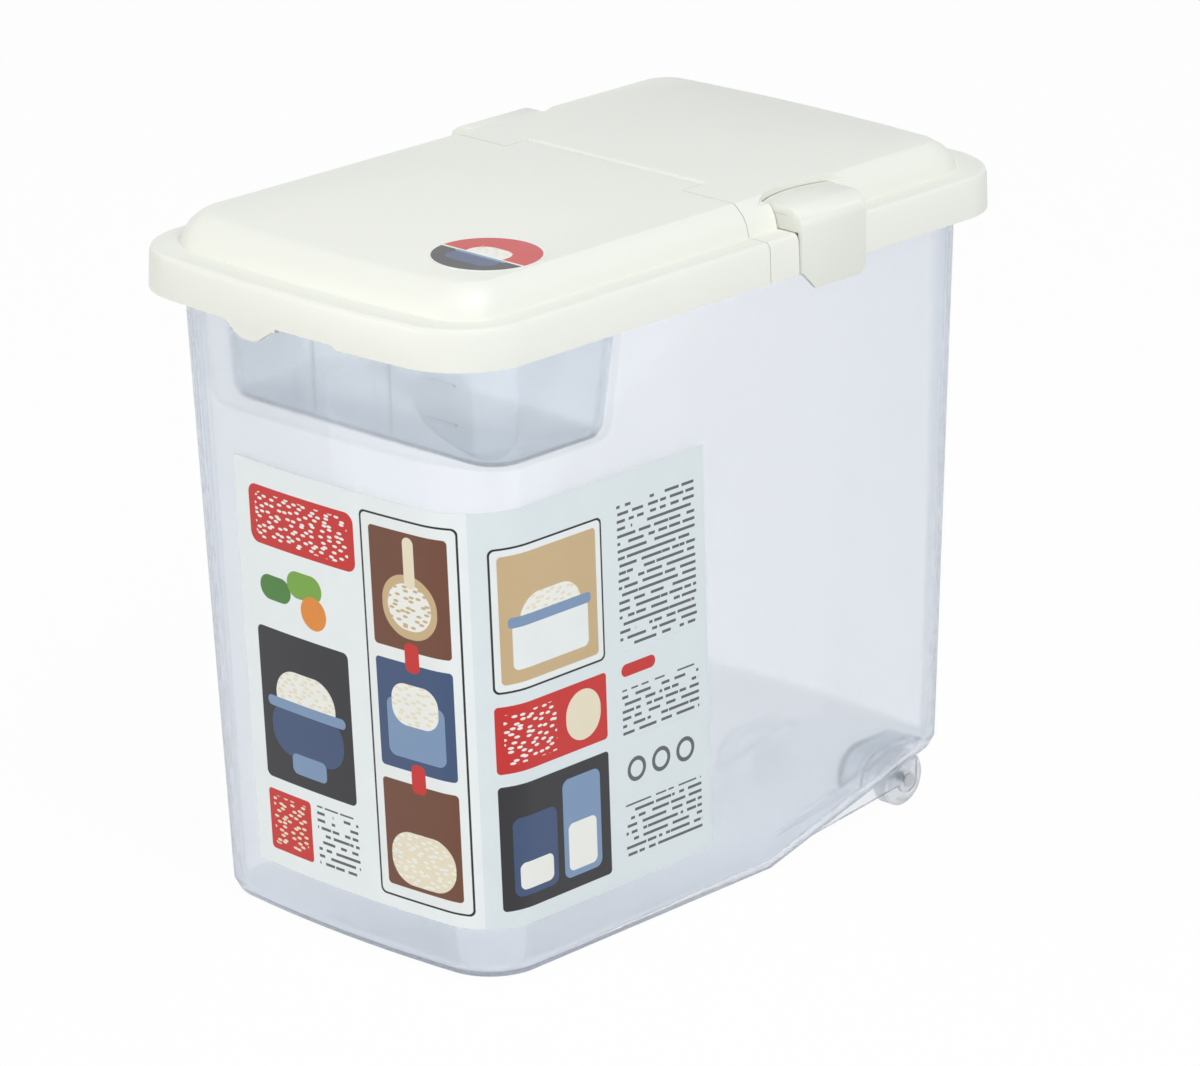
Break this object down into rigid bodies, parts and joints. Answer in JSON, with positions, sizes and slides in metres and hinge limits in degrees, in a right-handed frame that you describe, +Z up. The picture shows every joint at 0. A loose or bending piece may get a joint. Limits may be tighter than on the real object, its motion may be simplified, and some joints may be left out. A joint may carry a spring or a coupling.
{
  "type": "rice bin",
  "caption": "Upright rice bin on two rear casters, with a flip-up front lid, a rear lid held by side clips, and a measuring tray that slides on inner rails.",
  "frame": {"origin": "on the floor under the middle of the lid's outline", "axes": "+Z up, +X to the right seen from the front, the flip lid's front edge at -Y, the casters at +Y"},
  "size_m": [0.217, 0.373, 0.3248],
  "materials": {
    "clear_shell": "frosted",
    "tray_plastic": "frosted",
    "lid_plastic": "satin",
    "clip_plastic": "satin",
    "wheel_plastic": "satin",
    "axle_steel": "brushed",
    "printed_sheet": "printed",
    "sticker_sheet": "printed"
  },
  "bodies": {
    "bin": {"bin_body": "clear_shell", "rear_lid": "lid_plastic", "caster_axle_left": "axle_steel", "caster_axle_right": "axle_steel", "printed_wrap": "printed_sheet"},
    "flip_lid": {"front_lid": "lid_plastic", "lid_sticker": "sticker_sheet"},
    "tray": {"slide_tray": "tray_plastic"},
    "left_clip": {"clip_left": "clip_plastic"},
    "right_clip": {"clip_right": "clip_plastic"},
    "left_wheel": {"caster_wheel_left": "wheel_plastic"},
    "right_wheel": {"caster_wheel_right": "wheel_plastic"}
  },
  "joints": [
    {"name": "lid_flip", "type": "hinge", "parent": "bin", "child": "flip_lid", "pos_m": [0, 0.0225, 0.3213], "axis": [-1, 0, 0], "range_deg": [0, 105]},
    {"name": "tray_slide", "type": "slide", "parent": "bin", "child": "tray", "axis": [0, 1, 0], "range_m": [0, 0.185]},
    {"name": "left_clip_swing", "type": "hinge", "parent": "bin", "child": "left_clip", "pos_m": [-0.0885, 0.05175, 0.3173], "axis": [0, 1, 0], "range_deg": [0, 60]},
    {"name": "right_clip_swing", "type": "hinge", "parent": "bin", "child": "right_clip", "pos_m": [0.0885, 0.05175, 0.3173], "axis": [0, -1, 0], "range_deg": [0, 60]},
    {"name": "left_wheel_roll", "type": "hinge", "parent": "bin", "child": "left_wheel", "pos_m": [-0.075, 0.1382, 0.0135], "axis": [1, 0, 0], "continuous": true},
    {"name": "right_wheel_roll", "type": "hinge", "parent": "bin", "child": "right_wheel", "pos_m": [0.075, 0.1382, 0.0135], "axis": [1, 0, 0], "continuous": true}
  ]
}
